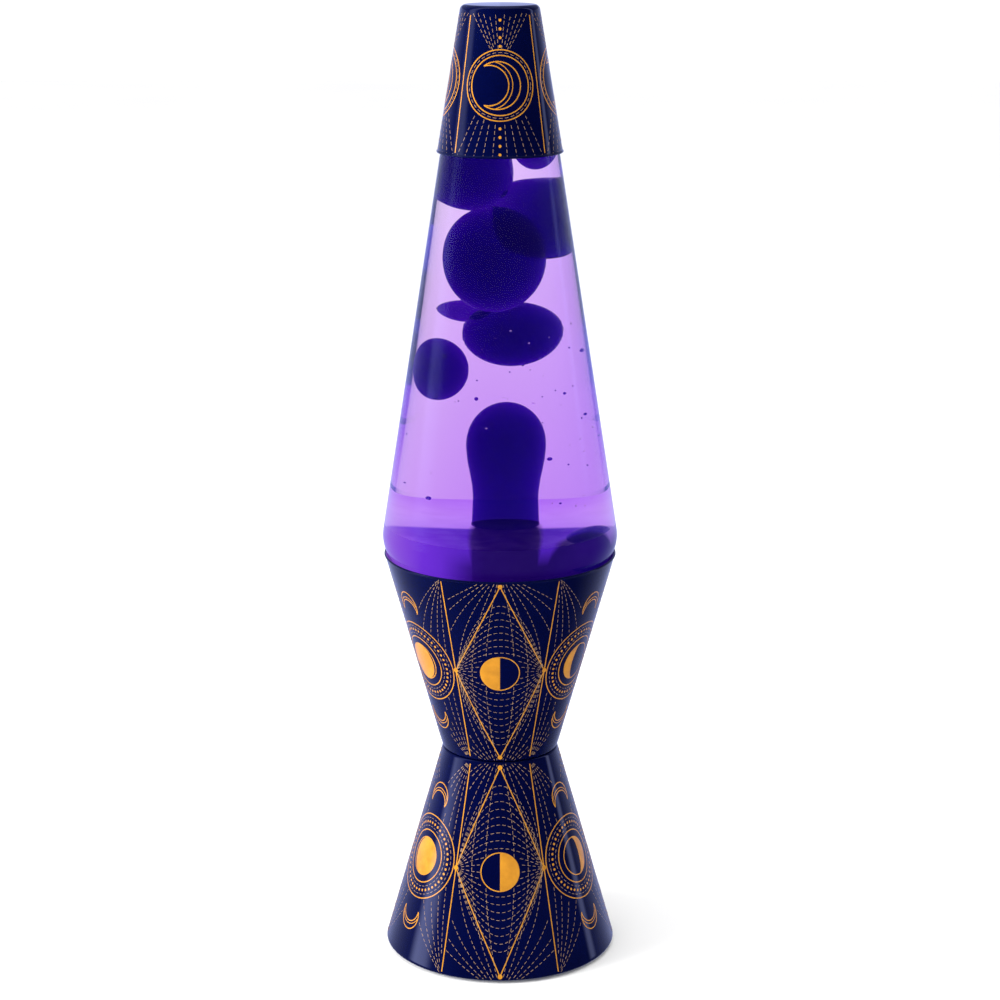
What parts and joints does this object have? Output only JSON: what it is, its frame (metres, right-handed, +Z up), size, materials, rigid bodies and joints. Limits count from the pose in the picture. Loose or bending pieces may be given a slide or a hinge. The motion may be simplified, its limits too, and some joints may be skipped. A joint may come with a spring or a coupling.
{
  "type": "lava lamp",
  "caption": "Lava lamp with an hour-glass metal base, a tapered glass bottle of violet liquid with indigo wax, and a conical metal cap; the bottle and cap lift off and the bulb unscrews.",
  "frame": {"origin": "the middle of the footprint, on the surface that the lamp stands on", "axes": "+Z up along the lamp's axis, -Y towards the front of the print, +Y towards the cord's inlet, +X to the right seen from the front"},
  "size_m": [0.091, 0.091, 0.368],
  "materials": {
    "printed_navy": "spun aluminium under glossy navy lacquer, printed with gold linework",
    "steel": "plain steel rivets",
    "black_plastic": "moulded black plastic, fine texture",
    "foot_rubber": "soft dark rubber",
    "phenolic": "black-brown phenolic, slight sheen",
    "contact_brass": "stamped brass",
    "black_sleeve": "black wire sleeve",
    "white_sleeve": "white wire sleeve",
    "connector_nylon": "milky nylon",
    "solder": "dull tin solder",
    "bulb_glass": "thin clear glass",
    "bulb_brass": "rolled brass screw shell",
    "black_glass": "black insulating glass",
    "lead_wire": "nickel wire",
    "filament_wire": "dark tungsten wire",
    "bottle_glass": "clear polished glass",
    "closure_metal": "plain lacquered closure",
    "liner": "soft white gasket",
    "coil_wire": "bright spring wire",
    "wax": "dark indigo wax, softly translucent",
    "liquid": "clear violet liquid"
  },
  "bodies": {
    "base": {"lower_cone": "printed_navy", "upper_cone": "printed_navy", "waist_rivet_1": "steel", "waist_rivet_2": "steel", "waist_rivet_3": "steel", "bottom_cover": "black_plastic", "rubber_foot_1": "foot_rubber", "rubber_foot_2": "foot_rubber", "rubber_foot_3": "foot_rubber", "rubber_foot_4": "foot_rubber", "cord_gland": "black_plastic", "gland_nut": "black_plastic", "socket_body": "phenolic", "socket_ring": "phenolic", "socket_shell": "contact_brass", "socket_centre_contact": "contact_brass", "socket_rivet_live": "contact_brass", "socket_rivet_neutral": "contact_brass", "terminal_live": "contact_brass", "terminal_neutral": "contact_brass", "lead_live": "black_sleeve", "lead_neutral": "white_sleeve", "wire_connector_live": "connector_nylon", "wire_connector_neutral": "connector_nylon"},
    "bulb_carrier": {"bulb_contact": "solder"},
    "bulb": {"bulb_envelope": "bulb_glass", "bulb_screw_shell": "bulb_brass", "bulb_insulator": "black_glass", "bulb_stem": "bulb_glass", "bulb_lead_1": "lead_wire", "bulb_lead_2": "lead_wire", "bulb_filament": "filament_wire"},
    "globe": {"glass_bottle": "bottle_glass", "bottle_screw_cap": "closure_metal", "closure_liner": "liner", "heating_coil": "coil_wire", "wax_pool": "wax", "lamp_liquid": "liquid", "wax_top_mass": "wax", "wax_top_drop": "wax"},
    "cap": {"top_cap": "printed_navy"},
    "large_drop": {"wax_drop_large": "wax"},
    "middle_drop": {"wax_drop_middle": "wax"},
    "left_drop": {"wax_drop_left": "wax"},
    "right_drop": {"wax_drop_right": "wax"},
    "small_drop": {"wax_drop_small": "wax"}
  },
  "joints": [
    {"name": "globe_lift", "type": "slide", "parent": "base", "child": "globe", "axis": [0, 0, 1], "range_m": [0, 0.06]},
    {"name": "cap_lift", "type": "slide", "parent": "globe", "child": "cap", "axis": [0, 0, 1], "range_m": [0, 0.055]},
    {"name": "bulb_rise", "type": "slide", "parent": "base", "child": "bulb_carrier", "axis": [0, 0, 1], "range_m": [0, 0.0127]},
    {"name": "bulb_turn", "type": "hinge", "parent": "bulb_carrier", "child": "bulb", "pos_m": [0, 0, 0.1], "axis": [0, 0, 1], "range_deg": [0, 1620]},
    {"name": "large_drop_drift", "type": "slide", "parent": "globe", "child": "large_drop", "axis": [0, 0, 1], "range_m": [-0.003, 0.001], "deforming": ["lamp_liquid"]},
    {"name": "middle_drop_drift", "type": "slide", "parent": "globe", "child": "middle_drop", "axis": [0, 0, 1], "range_m": [-0.009, 0.002], "deforming": ["lamp_liquid"]},
    {"name": "left_drop_drift", "type": "slide", "parent": "globe", "child": "left_drop", "axis": [0.1415, 0.0636, 0.9879], "range_m": [-0.044, 0.009], "deforming": ["lamp_liquid"]},
    {"name": "right_drop_drift", "type": "slide", "parent": "globe", "child": "right_drop", "axis": [-0.1265, -0.0898, 0.9879], "range_m": [-0.01, 0.002], "deforming": ["lamp_liquid"]},
    {"name": "small_drop_drift", "type": "slide", "parent": "globe", "child": "small_drop", "axis": [0.0471, -0.1478, 0.9879], "range_m": [-0.025, 0.018], "deforming": ["lamp_liquid"]}
  ],
  "couplings": [
    {"joint": "bulb_rise", "follows": "bulb_turn", "m_per_rad": 0.00044882}
  ]
}
